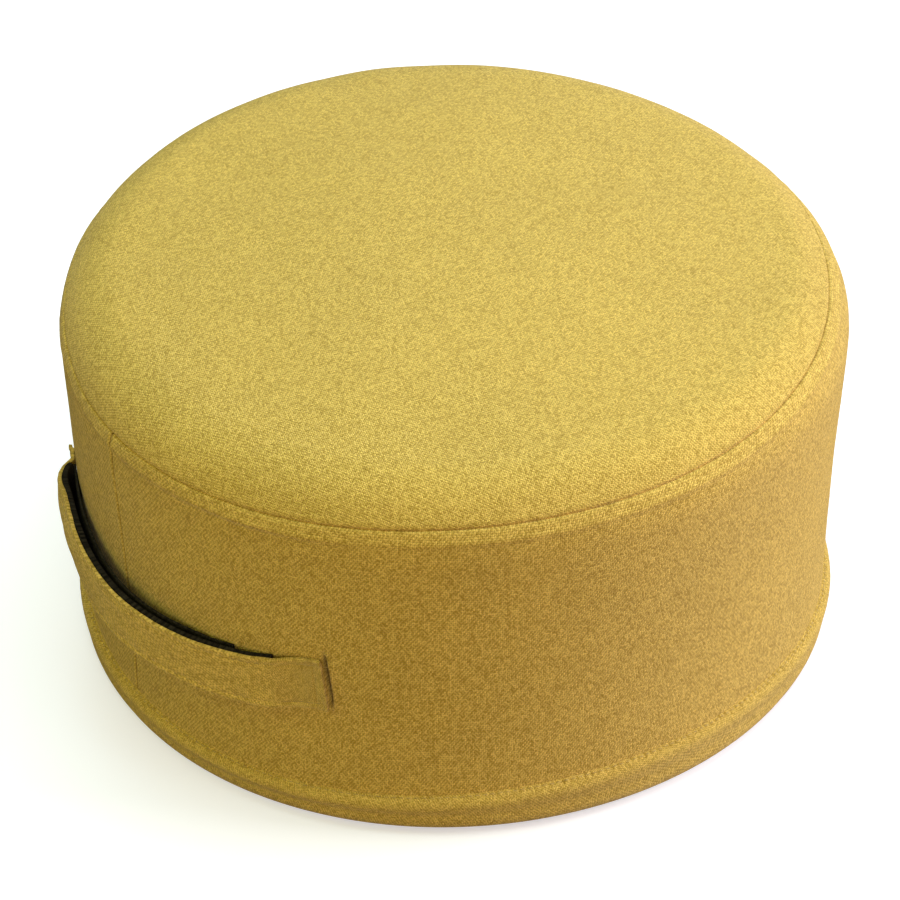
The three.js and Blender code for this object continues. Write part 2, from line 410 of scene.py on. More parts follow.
class NodeSheet:
    """Lays nodes in one node tree and links them."""

    def __init__(self, tree: bpy.types.NodeTree) -> None:
        """Starts on a tree."""
        self.tree = tree

    def feed(self, socket: Socket, value: object) -> None:
        """Links a socket to another one, or sets its own value.

        Args:
            socket: the input.
            value: another socket, or a plain value.
        """
        if isinstance(value, Socket):
            self.tree.links.new(value, socket)
        else:
            socket.default_value = value

    def add(self, kind: str, inputs: dict | None = None, **settings: object) -> bpy.types.Node:
        """Adds a node.

        Args:
            kind: the node's type name.
            inputs: values or sockets by input name or number.
            settings: the node's own properties.

        Returns:
            The new node.
        """
        node = self.tree.nodes.new(kind)
        for key, value in settings.items():
            setattr(node, key, value)
        for key, value in (inputs or {}).items():
            self.feed(node.inputs[key], value)
        return node

    def maths(self, operation: str, *values: object) -> Socket:
        """The result of a Math node."""
        node = self.add("ShaderNodeMath", dict(enumerate(values)), operation=operation)
        return node.outputs[0]

    def choose(self, share: object, first: object, second: object) -> Socket:
        """A number between first and second."""
        node = self.add("ShaderNodeMix", {0: share, 2: first, 3: second}, data_type="FLOAT")
        return node.outputs[0]

    def tint(self, share: object, first: object, second: object, mode: str = "MIX") -> Socket:
        """A colour mixed from two."""
        inputs = {0: share, 6: first, 7: second}
        return self.add("ShaderNodeMix", inputs, data_type="RGBA", blend_type=mode).outputs[2]

    def grey(self, value: object) -> Socket:
        """A colour whose three parts are the same value."""
        return self.add("ShaderNodeCombineColor", {0: value, 1: value, 2: value}).outputs[0]

    def along(self, vector: object, factor: object, addend: object) -> Socket:
        """A vector times a factor, plus another vector."""
        inputs = {0: vector, 1: factor, 2: addend}
        return self.add("ShaderNodeVectorMath", inputs, operation="MULTIPLY_ADD").outputs[0]

    def stretch(self, value: object, low: float, high: float, first: float, last: float) -> Socket:
        """Maps low..high to first..last and clamps."""
        inputs = {"Value": value, "From Min": low, "From Max": high, "To Min": first, "To Max": last}
        return self.add("ShaderNodeMapRange", inputs).outputs[0]


class WeaveGroup:
    """The shader node group of a woven cloth, shared by all the cloth finishes.

    CROSSING, HATCH, CHANCE and FIBRE are how far the crossings, a diagonal hatch, single
    flecks and the fibres move a yarn's tone. WANDER and SLUB bend the yarns, each with its
    noise scale and its reach in yarns. YARN_SEEDS set the two yarns' own noise apart.
    """

    NAME = "Woven yarns"
    CROSSING = 0.36
    HATCH = 0.4
    CHANCE = 0.38
    FIBRE = 0.25
    WANDER = (0.09, 0.9)
    SLUB = (0.4, 0.8)
    YARN_SEEDS = (11.0, 47.0)
    YARN_RUN = 0.28
    ROUNDNESS = 0.8
    ROUGHNESS = (0.97, 0.84)
    INPUTS = (
        ("Cloth", "NodeSocketVector"),
        ("Yarn Pitch", "NodeSocketFloat"),
        ("Rib", "NodeSocketFloat"),
        ("Light Yarn", "NodeSocketColor"),
        ("Dark Yarn", "NodeSocketColor"),
        ("Fleck", "NodeSocketFloat"),
        ("Depth", "NodeSocketFloat"),
    )
    OUTPUTS = (
        ("Colour", "NodeSocketColor"),
        ("Height", "NodeSocketFloat"),
        ("Roughness", "NodeSocketFloat"),
    )

    @classmethod
    def tree(cls) -> bpy.types.NodeTree:
        """The group, built on first use."""
        found = bpy.data.node_groups.get(cls.NAME)
        return found or cls._build()

    @classmethod
    def _build(cls) -> bpy.types.NodeTree:
        """Builds the group's sockets and nodes.

        Returns:
            The group's node tree.
        """
        tree = bpy.data.node_groups.new(cls.NAME, "ShaderNodeTree")
        for name, kind in cls.INPUTS:
            tree.interface.new_socket(name, in_out="INPUT", socket_type=kind)
        for name, kind in cls.OUTPUTS:
            tree.interface.new_socket(name, in_out="OUTPUT", socket_type=kind)
        sheet = NodeSheet(tree)
        given = sheet.add("NodeGroupInput").outputs
        put = sheet.add("NodeGroupOutput").inputs

        per_yarn = sheet.maths("DIVIDE", 1.0, given["Yarn Pitch"])
        inputs = {0: given["Cloth"], "Scale": per_yarn}
        scaled = sheet.add("ShaderNodeVectorMath", inputs, operation="SCALE").outputs[0]
        shift = scaled
        for scale, reach in (cls.WANDER, cls.SLUB):
            bend = sheet.add("ShaderNodeTexNoise", {"Vector": scaled, "Scale": scale, "Detail": 1.0})
            shift = sheet.along(bend.outputs["Color"], (reach, reach, 0.0), shift)
        parts = sheet.add("ShaderNodeSeparateXYZ", {0: shift}).outputs
        across, along = parts["X"], parts["Y"]
        warp, weft = sheet.maths("FLOOR", across), sheet.maths("FLOOR", along)
        over = sheet.maths("FLOORED_MODULO", sheet.maths("ADD", warp, weft), 2.0)
        round_warp = cls._arch(sheet, across)
        round_weft = cls._arch(sheet, along)
        warp_height = cls._float(sheet, round_warp, round_weft, given["Rib"])
        weft_height = cls._float(sheet, round_weft, round_warp, given["Rib"])
        height = sheet.choose(over, weft_height, warp_height)

        warp_tone = cls._yarn_tone(sheet, warp, along, cls.YARN_SEEDS[0])
        weft_tone = cls._yarn_tone(sheet, weft, across, cls.YARN_SEEDS[1])
        crossing = sheet.stretch(over, 0.0, 1.0, -cls.CROSSING, cls.CROSSING)
        tone = sheet.maths("ADD", sheet.choose(over, weft_tone, warp_tone), crossing)
        cell = sheet.add("ShaderNodeCombineXYZ", {0: warp, 1: weft}).outputs[0]
        fleck = sheet.add("ShaderNodeTexWhiteNoise", {"Vector": cell}, noise_dimensions="3D")
        fleck_tone = sheet.stretch(fleck.outputs["Value"], 0.0, 1.0, -cls.CHANCE, cls.CHANCE)
        tone = sheet.maths("ADD", tone, fleck_tone)
        slope = sheet.maths("MULTIPLY", sheet.maths("SUBTRACT", across, along), math.pi)
        tone = sheet.maths("MULTIPLY_ADD", sheet.maths("COSINE", slope), cls.HATCH, tone)
        inputs = {"Vector": scaled, "Scale": 2.3, "Detail": 2.0, "Roughness": 0.6}
        fibre = sheet.add("ShaderNodeTexNoise", inputs).outputs["Fac"]
        tone = sheet.maths("ADD", tone, sheet.stretch(fibre, 0.3, 0.7, -cls.FIBRE, cls.FIBRE))
        softened = sheet.choose(given["Fleck"], 0.5, tone)
        colour = sheet.tint(softened, given["Dark Yarn"], given["Light Yarn"])
        # Painted shade: each yarn's colour darkens towards its low edges, by the hollow shade input.
        shade = sheet.choose(height, sheet.maths("SUBTRACT", 1.0, given["Depth"]), 1.0)
        sheet.feed(put["Colour"], sheet.tint(1.0, colour, sheet.grey(shade), "MULTIPLY"))
        sheet.feed(put["Height"], sheet.maths("MULTIPLY_ADD", fibre, cls.FIBRE, height))
        sheet.feed(put["Roughness"], sheet.stretch(height, 0.0, 1.0, *cls.ROUGHNESS))
        return tree

    @staticmethod
    def _arch(sheet: NodeSheet, place: Socket) -> Socket:
        """0 at a yarn's edges and 1 in its middle."""
        share = sheet.maths("FRACT", place)
        return sheet.maths("SINE", sheet.maths("MULTIPLY", share, math.pi))

    @classmethod
    def _float(cls, sheet: NodeSheet, own: Socket, crossing: Socket, rib: Socket) -> Socket:
        """The height of a yarn where it lies on top.

        Args:
            sheet: where the nodes go.
            own: the yarn's own arch.
            crossing: the arch of the yarn that it crosses.
            rib: how late its ends dip.

        Returns:
            The height from 0 to 1.
        """
        body = sheet.maths("POWER", own, cls.ROUNDNESS)
        ends = sheet.maths("POWER", crossing, rib)
        return sheet.maths("MULTIPLY", body, ends)

    @classmethod
    def _yarn_tone(cls, sheet: NodeSheet, yarn: Socket, run: Socket, seed: float) -> Socket:
        """The tone of a yarn, which changes slowly along it.

        Args:
            sheet: where the nodes go.
            yarn: the yarn's number.
            run: the place along it, in yarns.
            seed: sets its noise apart.

        Returns:
            The tone from 0 to 1.
        """
        number = sheet.maths("ADD", yarn, seed)
        chance = sheet.add("ShaderNodeTexWhiteNoise", {"W": number}, noise_dimensions="1D")
        line = sheet.maths("MULTIPLY", chance.outputs["Value"], 97.0)
        place = sheet.add("ShaderNodeCombineXYZ", {0: line, 1: run, 2: seed}).outputs[0]
        slow = sheet.add("ShaderNodeMapping", {"Vector": place, "Scale": (1.0, cls.YARN_RUN, 1.0)})
        inputs = {"Vector": slow.outputs[0], "Scale": 1.0, "Detail": 2.0}
        tone = sheet.add("ShaderNodeTexNoise", inputs)
        return sheet.stretch(tone.outputs["Fac"], 0.28, 0.72, 0.0, 1.0)


RIBS = {Weave.LINEN: 0.35, Weave.WEBBING: 0.15}


@dataclass(frozen=True)
class ClothFinish:
    """A woven cloth: its yarns' colours and sizes in metres, and its turn in degrees."""

    name: str
    light: Colour
    dark: Colour
    pitch: float = 0.00094
    weave: Weave = Weave.LINEN
    bias: float = 0.0
    fleck: float = 0.9
    # depth is the painted shade on the low parts of the yarns.
    depth: float = 0.35
    relief: float = 0.00022
    cloudiness: float = 0.04
    sheen: float = 0.12
    sheen_roughness: float = 0.45
    gloss: float = 0.25
    # shadow is the colour of the painted shade that the body's shade attribute mixes in.
    shadow: Colour = (0.05, 0.028, 0.006, 1.0)

    def material(self) -> bpy.types.Material:
        """Builds the material, which reads the piece's own cloth map.

        Returns:
            The material.
        """
        material = bpy.data.materials.new(self.name)
        material.use_nodes = True
        sheet = NodeSheet(material.node_tree)
        shader = material.node_tree.nodes["Principled BSDF"]
        place = sheet.add("ShaderNodeUVMap", uv_map="Cloth").outputs["UV"]
        turn = (0.0, 0.0, math.radians(self.bias))
        turned = sheet.add("ShaderNodeMapping", {"Vector": place, "Rotation": turn})
        yarns = sheet.add("ShaderNodeGroup", node_tree=WeaveGroup.tree())
        for key, value in {
            "Cloth": turned.outputs[0],
            "Yarn Pitch": self.pitch,
            "Rib": RIBS[self.weave],
            "Light Yarn": self.light,
            "Dark Yarn": self.dark,
            "Fleck": self.fleck,
            "Depth": self.depth,
        }.items():
            sheet.feed(yarns.inputs[key], value)
        own = sheet.add("ShaderNodeTexCoord").outputs["Object"]
        inputs = {"Vector": own, "Scale": 11.0, "Detail": 3.0, "Roughness": 0.55}
        clouds = sheet.add("ShaderNodeTexNoise", inputs).outputs["Fac"]
        cloud = sheet.stretch(clouds, 0.3, 0.7, 1.0 - self.cloudiness, 1.0 + self.cloudiness)
        colour = sheet.tint(1.0, yarns.outputs["Colour"], sheet.grey(cloud), "MULTIPLY")
        # The attribute read here holds painted shade: it mixes in the shadow colour in the upright
        # join's groove and in the gap beside the strap's right end.
        painted_shade = sheet.add("ShaderNodeAttribute", attribute_name="Painted shade").outputs["Fac"]
        colour = sheet.tint(painted_shade, colour, self.shadow)
        sheet.feed(shader.inputs["Base Color"], colour)
        sheet.feed(shader.inputs["Roughness"], yarns.outputs["Roughness"])
        inputs = {"Height": yarns.outputs["Height"], "Distance": self.relief, "Strength": 1.0}
        raised = sheet.add("ShaderNodeBump", inputs)
        sheet.feed(shader.inputs["Normal"], raised.outputs["Normal"])
        shader.inputs["Sheen Weight"].default_value = self.sheen
        shader.inputs["Sheen Roughness"].default_value = self.sheen_roughness
        shader.inputs["Specular IOR Level"].default_value = self.gloss
        return material


@dataclass(frozen=True)
class ThreadFinish:
    """Sewing thread: two plies twisted together."""

    name: str
    colour: Colour
    twist: float = 900.0
    # shade is the share of the thread's colour left in the painted shade of the grooves between the
    # plies.
    shade: float = 0.6
    relief: float = 0.0001
    roughness: float = 0.6
    sheen: float = 0.2

    def material(self) -> bpy.types.Material:
        """Builds the material from the piece's own coordinates.

        Returns:
            The material.
        """
        material = bpy.data.materials.new(self.name)
        material.use_nodes = True
        sheet = NodeSheet(material.node_tree)
        shader = material.node_tree.nodes["Principled BSDF"]
        own = sheet.add("ShaderNodeTexCoord").outputs["Object"]
        inputs = {"Vector": own, "Scale": self.twist, "Distortion": 1.5}
        ply = sheet.add("ShaderNodeTexWave", inputs).outputs["Fac"]
        # Painted shade: the thread darkens where the ply wave is low, in the grooves between the
        # plies.
        groove_shade_colour = tuple(self.shade * part for part in self.colour[:3]) + (1.0,)
        sheet.feed(shader.inputs["Base Color"], sheet.tint(ply, groove_shade_colour, self.colour))
        raised = sheet.add("ShaderNodeBump", {"Height": ply, "Distance": self.relief})
        sheet.feed(shader.inputs["Normal"], raised.outputs["Normal"])
        shader.inputs["Roughness"].default_value = self.roughness
        shader.inputs["Sheen Weight"].default_value = self.sheen
        return material


YELLOW = ClothFinish("Mustard linen", (0.82, 0.56, 0.12, 1.0), (0.40, 0.25, 0.028, 1.0))
# The base cover's linen is a lighter copy of the body's: painted light for the rim's up-facing ridge.
RIM_YELLOW_PAINTED_LIGHT = ClothFinish(
    "Mustard linen, base, painted lighter", (0.86, 0.595, 0.13, 1.0), (0.42, 0.268, 0.032, 1.0), bias=32.0
)
STRAP_YELLOW = ClothFinish(
    "Mustard linen, strap", (0.87, 0.60, 0.135, 1.0), (0.42, 0.27, 0.033, 1.0), bias=8.0
)
BLACK_WEBBING = ClothFinish(
    "Black webbing",
    light=(0.034, 0.028, 0.019, 1.0),
    dark=(0.007, 0.0055, 0.004, 1.0),
    pitch=0.0012,
    weave=Weave.WEBBING,
    relief=0.0003,
    sheen=0.0,
    gloss=0.08,
)
THREAD = ThreadFinish("Mustard thread", (0.50, 0.33, 0.065, 1.0))


CLOTH_RUN = {
    "quality": 5,
    "mass": 0.3,
    "tension_stiffness": 12.0,
    "compression_stiffness": 12.0,
    "shear_stiffness": 4.0,
    "bending_stiffness": 0.6,
    "use_pressure": True,
    "uniform_pressure_force": 4.0,
    "vertex_group_mass": "sewn",
    "shrink_min": -0.012,
}


@dataclass
class Cushion:
    """The stuffed body: top panel and side band sewn round the filling.

    Sizes are in metres, but seam_rows, which are millimetres up from the round seam. The ridges and
    the lift stand out or lie in from the plain surface, and the shades are tones of painted shade
    from 0 to 1, in the upright join's groove and in the gap beside the strap's right end. The fades
    say where they end beyond the corners of the strap's right end.
    """

    outline: Outline
    columns: int = 820
    crowds: tuple[Crowd, ...] = (
        Crowd(math.radians(-95.0), math.radians(0.7), 6.0),
        Crowd(math.radians(-57.8), math.radians(1.3), 4.0),
    )
    join_azimuth: float = math.radians(-95.0)
    groove: Ridge = Ridge(0.0011, 0.0, 0.00045)
    roll: Ridge = Ridge(0.0003, 0.0028, 0.00196)
    allowance_width: float = 0.008
    allowance_fall: float = 0.0035
    allowance_lift: float = 0.0016
    allowance_hollow: Ridge = Ridge(0.4, 0.004, 0.014)
    allowance_edge: Ridge = Ridge(0.0003, -0.0012, 0.0011)
    fullness: float = 0.55
    fullness_grain: Grain = Grain(0.45, (14.0, 0.0, 0.0), (0.0, 9.0, 0.0))
    pucker: Ridge = Ridge(0.0002, 0.002, 0.0035)
    pucker_pitch: float = 0.011
    pucker_grain: Grain = Grain(5.0, (40.0, 0.0, 0.0), (0.0, 5.0, 0.0))
    join_groove: Ridge = Ridge(0.0014, 0.0, 0.0006)
    join_swell: Ridge = Ridge(0.0002, 0.0022, 0.0015)
    # join_shade is painted shade in the upright join's groove, on the band only.
    join_shade: Ridge = Ridge(0.75, 0.0, 0.0006)
    end_azimuth: float = math.radians(-57.75)
    end_level: float = 0.0915
    end_half_height: float = 0.0142
    end_lean: float = -0.1
    end_groove: Ridge = Ridge(0.0034, 0.0, 0.0009)
    end_groove_fade: tuple[float, float] = (0.0, 0.003)
    end_draw: Ridge = Ridge(0.0006, 0.003, 0.006)
    end_draw_fade: tuple[float, float] = (-0.004, 0.012)
    # end_shade is painted shade in the gap beside the strap's right end, and end_shade_fade ends it
    # past the strap's corners.
    end_shade: Ridge = Ridge(0.9, 0.0, 0.0007)
    end_shade_fade: tuple[float, float] = (0.0, 0.0015)
    unevenness: Grain = Grain(0.0006, (9.0, 9.0, 9.0), (0.0, 0.0, 3.0))
    fine_unevenness: Grain = Grain(0.00018, (31.0, 31.0, 31.0))
    top_bias: float = math.radians(-68.0)
    band_radius: float = 0.2005
    band_coarse: float = 1.0
    band_fine: float = 1.4
    start_slack: float = 0.003
    voxel: float = 0.006
    frames: int = 20
    puff_share: float = 0.3
    cap: float = 0.0009
    reach: float = 0.02
    smoothings: int = 12
    held_width: float = 0.007
    held_foot: tuple[float, float] = (0.022, 0.034)
    free_foot: tuple[float, float] = (0.030, 0.050)
    strap_ends: tuple[float, float] = (-122.0, -60.0)
    strap_middle: float = 0.093
    end_hold: float = 12.0
    fill: float = 0.85
    seam_rows: tuple[float, ...] = (
        *(-13.0, -11.4, -10.4, -9.7, -9.2, -8.8, -8.4, -8.0, -7.6, -7.2, -6.8, -6.3, -5.6),
        *(-4.7, -3.9, -3.1, -2.4, -1.8, -1.35, -1.0, -0.7, -0.45, -0.2, 0.0),
        *(0.2, 0.45, 0.7, 1.0, 1.35, 1.8, 2.4, 3.1, 3.9, 4.9, 6.0),
    )
    rows: list[tuple[Section, float]] = field(default_factory=list)

    def build(self) -> Piece:
        """Makes the body's mesh, with its filling settled and its seams sewn.

        Returns:
            The object.
        """
        edge = [value / 1000 for value in self.seam_rows]
        self.rows = [
            *((Section.UNDERSIDE, share) for share in spread(6, 0.0, 0.98)),
            *((Section.FOOT, share) for share in spread(5, 0.0, 1.0)),
            *((Section.SIDE, share) for share in spread(37, 0.0, 1.0)[:-1]),
            *((Section.SEAM, value) for value in edge),
            *((Section.SHOULDER, share) for share in spread(10, 0.0, 1.0)[1:]),
            *((Section.CROWN, share) for share in spread(27, 1.0, 0.0)[1:]),
        ]
        turning = Turning(self.rows, self.columns, self.crowds)
        turning.lay(self._plain_point)
        self._push_out(turning, self._settle_filling())
        turning.unroll(self._cloth)
        return turning.finish("cushion_body")

    def _rise(self, section: Section, share: float, azimuth: float) -> float:
        """The way up the shoulder of a row, negative on the side.

        Args:
            section: the part of the outline.
            share: the row's place in that part.
            azimuth: in radians.

        Returns:
            The way in metres.
        """
        seam = self.outline.seam(azimuth)
        first, last = self.seam_rows[0] / 1000, self.seam_rows[-1] / 1000
        lowest = self.outline.foot_bottom + self.outline.foot_rounding + 0.002
        if section is Section.SIDE:
            return blend(lowest - self.outline.level(azimuth), seam + first, share)
        if section is Section.SEAM:
            return seam + share
        return blend(seam + last, self.outline.shoulder_length, share)

    def _plain_point(self, section: Section, share: float, azimuth: float) -> Vector:
        """A point of the body before it is sewn.

        Args:
            section: the part of the outline.
            share: the row's place in that part.
            azimuth: in radians.

        Returns:
            The point.
        """
        form = self.outline
        if section is Section.CROWN:
            return around(azimuth, *form.crown(azimuth, share))
        if section is Section.UNDERSIDE:
            reach = form.foot(azimuth) - form.foot_rounding
            return around(azimuth, reach * share, form.foot_bottom)
        if section is Section.FOOT:
            turn = math.pi / 2 * (1 - share)
            radius = form.foot(azimuth) - form.foot_rounding * (1 - math.cos(turn))
            height = form.foot_bottom + form.foot_rounding * (1 - math.sin(turn))
            return around(azimuth, radius, height)
        return around(azimuth, *form.surface(azimuth, self._rise(section, share, azimuth)))

    def _settle_filling(self) -> BVHTree:
        """Lets the filling push the cloth out with a cloth simulation.

        Returns:
            The surface after the last frame, to be searched.
        """
        bm = bmesh.new()
        bm.from_mesh(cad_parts["cushion"].data)
        bmesh.ops.remove_doubles(bm, verts=bm.verts[:], dist=1e-5)
        bm.normal_update()
        for vertex in bm.verts:
            vertex.co -= vertex.normal * self.start_slack
        pad = make_object(bm, "filling_run")
        even = pad.modifiers.new("Even faces", "REMESH")
        even.mode = "VOXEL"
        even.voxel_size = self.voxel
        self._apply(pad)
        sewn = pad.vertex_groups.new(name="sewn")
        for vertex in pad.data.vertices:
            sewn.add([vertex.index], self._held(vertex.co), "REPLACE")
        cloth = pad.modifiers.new("Filling", "CLOTH")
        for setting, value in CLOTH_RUN.items():
            setattr(cloth.settings, setting, value)
        cloth.settings.effector_weights.gravity = 0.0
        cloth.point_cache.frame_start = 1
        cloth.point_cache.frame_end = self.frames
        for number in range(1, self.frames + 1):
            bpy.context.scene.frame_set(number)
        self._apply(pad)
        bm = bmesh.new()
        bm.from_mesh(pad.data)
        axes = {"use_axis_x": True, "use_axis_y": True, "use_axis_z": True}
        for _ in range(self.smoothings):
            bmesh.ops.smooth_vert(bm, verts=bm.verts[:], factor=0.5, **axes)
        surface = BVHTree.FromBMesh(bm)
        bm.free()
        bpy.data.objects.remove(pad)
        bpy.context.scene.frame_set(1)
        return surface

    def _held(self, place: Vector) -> float:
        """How firmly the sewing holds a point of the cloth: 1 at a seam.

        Args:
            place: the point.

        Returns:
            The hold from 0 to 1.
        """
        azimuth = math.atan2(place.y, place.x)
        radius, height = self.outline.surface(azimuth, self.outline.seam(azimuth))
        off_seam = math.hypot(place.to_2d().length - radius, place.z - height)
        at_seam = bump(off_seam, self.held_width)
        at_foot = 1.0 - ramp(place.z, *self.held_foot)
        return min(1.0, max(at_seam, at_foot))

    @staticmethod
    def _apply(piece: Piece) -> None:
        """Replaces the mesh with what its modifiers give, and drops them.

        Args:
            piece: the object.
        """
        view = bpy.context.evaluated_depsgraph_get()
        made = bpy.data.meshes.new_from_object(piece.evaluated_get(view))
        piece.modifiers.clear()
        piece.data = made

    def _push_out(self, turning: Turning, surface: BVHTree | None) -> None:
        """Moves the points out or in by the filling and the sewing.

        Args:
            turning: the body's form.
        """
        middle = Vector((0.0, 0.0, 0.1))
        verts = turning.bm.verts
        outwards = [v.normal.copy() if v.normal.dot(v.co - middle) > 0 else -v.normal for v in verts]
        puffs = self._puffs(turning, outwards, surface)
        # Each point also gets its tone of painted shade, kept in a float attribute that the material
        # reads.
        painted_shade = verts.layers.float.new("Painted shade")
        for vertex, place, outward, puff in zip(verts, turning.places, outwards, puffs):
            row, azimuth = place
            section, share = self.rows[row]
            free = self._freedom(vertex.co, section)
            vertex[painted_shade] = self._painted_shade(section, share, azimuth, vertex.co)
            vertex.co += outward * (puff * free + self._sewing(section, share, azimuth, vertex.co))
        turning.bm.normal_update()

    def _puffs(
        self, turning: Turning, outwards: list[Vector], surface: BVHTree | None
    ) -> list[float]:
        """How far the filling pushes each point out, against the mean all round its row.

        Args:
            turning: the body's form.
            outwards: the outward direction at each point.

        Returns:
            The push at each point, in metres.
        """
        if surface is None:
            return [0.0] * len(outwards)
        raw = []
        for vertex, outward in zip(turning.bm.verts, outwards):
            hit = surface.ray_cast(vertex.co + outward * self.reach, -outward, 2 * self.reach)[0]
            raw.append((hit - vertex.co).dot(outward) if hit is not None else 0.0)
        sums = [0.0] * len(self.rows)
        counts = [0] * len(self.rows)
        for (row, _), puff in zip(turning.places, raw):
            sums[row] += puff
            counts[row] += 1
        return [
            max(-self.cap, min(self.cap, self.puff_share * (puff - sums[row] / counts[row])))
            for (row, _), puff in zip(turning.places, raw)
        ]

    def _freedom(self, place: Vector, section: Section) -> float:
        """1 where the cloth may move, and 0 at the rim and under the strap's sewn ends.

        Round a sewn end, which is six degrees long and 36 mm high, the distance is counted
        in millimetres, 3.5 of them to a degree.

        Args:
            place: the point.
            section: the part of the outline.

        Returns:
            The freedom from 0 to 1.
        """
        if section in (Section.UNDERSIDE, Section.FOOT):
            return 0.0
        free = ramp(place.z, *self.free_foot)
        azimuth = math.degrees(math.atan2(place.y, place.x))
        for end in self.strap_ends:
            beside = max(abs(azimuth - end) - 3.0, 0.0) * 3.5
            over = max(abs(place.z - self.strap_middle) * 1000 - 18.0, 0.0)
            free *= 1.0 - bump(math.hypot(beside, over), self.end_hold)
        return free

    def _sewing(self, section: Section, share: float, azimuth: float, place: Vector) -> float:
        """How far the sewing and the cloth's own unevenness move a point out.

        Args:
            section: the part of the outline.
            share: the row's place in that part.
            azimuth: in radians.
            place: the point.

        Returns:
            The push in metres, outward positive.
        """
        if section in (Section.UNDERSIDE, Section.FOOT):
            return 0.0
        free = self._freedom(place, section)
        soft = self.unevenness.at(*place) + self.fine_unevenness.at(*place)
        if section is Section.CROWN:
            return soft * free
        rise = self._rise(section, share, azimuth)
        below = self.outline.seam(azimuth) - rise
        run = azimuth * self.outline.widest_radius
        push = soft * free
        push += self.roll.at(abs(below)) - self.groove.at(below)
        turn = TURN * run / self.pucker_pitch + self.pucker_grain.at(run)
        push -= self.pucker.at(below) * (0.5 + 0.5 * math.sin(turn))
        fullness = self.fullness + self.fullness_grain.at(run)
        width = self.allowance_width
        ledge = min(max(below / width, 0.0), 1.0)
        ledge *= 1.0 - ramp(below, width, width + self.allowance_fall)
        push += self.allowance_lift * (fullness * ledge - self.allowance_hollow.at(below))
        push += self.allowance_edge.at(below - width) * fullness
        if below > 0:
            beside = apart(azimuth, self.join_azimuth) * self.outline.widest_radius
            push += self.join_swell.at(abs(beside)) - self.join_groove.at(beside)
            push -= self._strap_end_dent(azimuth, place)
        return push

    def _beside_strap_end(self, azimuth: float, place: Vector) -> tuple[float, float]:
        """How far a point lies beside the strap's right end, and beyond its corners.

        Args:
            azimuth: in radians.
            place: the point.

        Returns:
            Both in metres, the second negative between the corners.
        """
        beside = apart(azimuth, self.end_azimuth) * self.outline.widest_radius
        beside -= self.end_lean * (place.z - self.end_level)
        return beside, abs(place.z - self.end_level) - self.end_half_height

    def _strap_end_dent(self, azimuth: float, place: Vector) -> float:
        """How deep the band is drawn in along the strap's right end.

        Args:
            azimuth: in radians.
            place: the point.

        Returns:
            The depth in metres.
        """
        beside, beyond = self._beside_strap_end(azimuth, place)
        sharp = self.end_groove.at(beside) * (1.0 - ramp(beyond, *self.end_groove_fade))
        wide = self.end_draw.at(beside) * (1.0 - ramp(beyond, *self.end_draw_fade))
        return sharp + wide

    def _painted_shade(self, section: Section, share: float, azimuth: float, place: Vector) -> float:
        """How much painted shade darkens the cloth at a point, from 0 to 1: shade in the upright
        join's groove and in the gap beside the strap's right end.

        Args:
            section: the part of the outline.
            share: the row's place in that part.
            azimuth: in radians.
            place: the point.

        Returns:
            The tone.
        """
        if section in (Section.UNDERSIDE, Section.FOOT, Section.CROWN):
            return 0.0
        beside, beyond = self._beside_strap_end(azimuth, place)
        tone = self.end_shade.at(beside) * (1.0 - ramp(beyond, *self.end_shade_fade))
        if self.outline.seam(azimuth) > self._rise(section, share, azimuth):
            off_join = apart(azimuth, self.join_azimuth) * self.outline.widest_radius
            tone += self.join_shade.at(off_join)
        return min(tone, 1.0)

    def _cloth(self, corners: list[tuple[int, float]]) -> list[Vector]:
        """Where a face's corners lie on the flat cloth.

        Args:
            corners: the row and azimuth of each corner.

        Returns:
            A place on the cloth for each corner, in metres.
        """
        seam_row = self.rows.index((Section.SEAM, 0.0))
        if sum(row for row, _ in corners) / len(corners) > seam_row:
            return [self._top_cloth(row, azimuth) for row, azimuth in corners]
        return self._band_cloth(corners)

    def _top_cloth(self, row: int, azimuth: float) -> Vector:
        """A place on the top panel's disc.

        Args:
            row: the row's number.
            azimuth: in radians.

        Returns:
            The place, in metres of cloth.
        """
        section, share = self.rows[row]
        if section is Section.CROWN:
            reach = self.outline.crown_radius * share
        else:
            form = self.outline
            reach = form.crown_radius + form.shoulder_length - self._rise(section, share, azimuth)
        return around(azimuth + self.top_bias, reach, 0.0)

    def _band_cloth(self, corners: list[tuple[int, float]]) -> list[Vector]:
        """Places on the side band, which is cut at the upright seam.

        Args:
            corners: the row and azimuth of each corner.

        Returns:
            A place for each corner, in metres of cloth.
        """
        runs = [(azimuth - self.join_azimuth) % TURN for _, azimuth in corners]
        if max(runs) - min(runs) > math.pi:
            runs = [run if run > math.pi else run + TURN for run in runs]
        places = []
        for (row, azimuth), run in zip(corners, runs):
            section, share = self.rows[row]
            if section in (Section.UNDERSIDE, Section.FOOT):
                level = -self.outline.level(azimuth) + 0.01 * share
            else:
                level = self._rise(section, share, azimuth)
            length = run * self.band_radius
            places.append(Vector((-length / self.band_coarse, level / self.band_fine, 0.0)))
        return places

    def dress(self, piece: Piece) -> None:
        """Gives the body its cloth, hangs it under the root and hides the CAD cushion.

        Args:
            piece: the body.
        """
        piece.data.materials.append(YELLOW.material())
        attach(piece, "root")
        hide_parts("cushion")


DISC_REACH = {
    RimSection.UNDER: (0.0, 0.194),
    RimSection.ROLL: (0.194, 0.205),
    RimSection.WALL: (0.205, 0.214),
    RimSection.TOP: (0.214, 0.225),
    RimSection.INSIDE: (0.225, 0.255),
    RimSection.UPPER: (0.0, 0.19),
}


